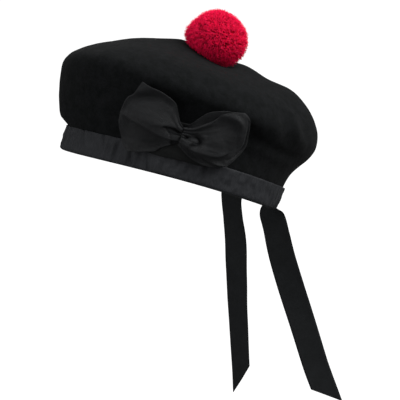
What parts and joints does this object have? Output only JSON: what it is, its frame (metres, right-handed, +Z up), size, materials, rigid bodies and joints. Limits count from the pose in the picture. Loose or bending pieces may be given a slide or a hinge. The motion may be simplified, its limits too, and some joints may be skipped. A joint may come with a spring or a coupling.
{
  "type": "balmoral bonnet",
  "caption": "Soft wide-crowned felt bonnet with a ribbon band round its rim, a ribbon bow at the side, a yarn pompom on top and ribbon tails hanging at the back.",
  "frame": {"origin": "middle of the head opening, at the height of the felt's lower edge, where a head seats", "axes": "+Z up as the bonnet is worn, -Y the way the wearer faces, +X the wearer's left"},
  "size_m": [0.213, 0.2483, 0.3721],
  "materials": {
    "crown felt": "matte napped wool felt, black",
    "headband ribbon": "ribbed ribbon with a soft sheen, black",
    "bow left ribbon": "ribbed ribbon with a soft sheen, black",
    "bow right ribbon": "ribbed ribbon with a soft sheen, black",
    "bow back ribbon": "ribbed ribbon with a soft sheen, black",
    "toorie yarn": "cut wool yarn, red",
    "left tail ribbon": "matte ribbed ribbon, black",
    "right tail ribbon": "matte ribbed ribbon, black"
  },
  "bodies": {
    "root": {"crown": "crown felt", "headband": "headband ribbon", "bow_left_loop": "bow left ribbon", "bow_right_loop": "bow right ribbon", "bow_back": "bow back ribbon", "toorie": "toorie yarn", "tail_left": "left tail ribbon", "tail_right": "right tail ribbon"}
  },
  "joints": []
}
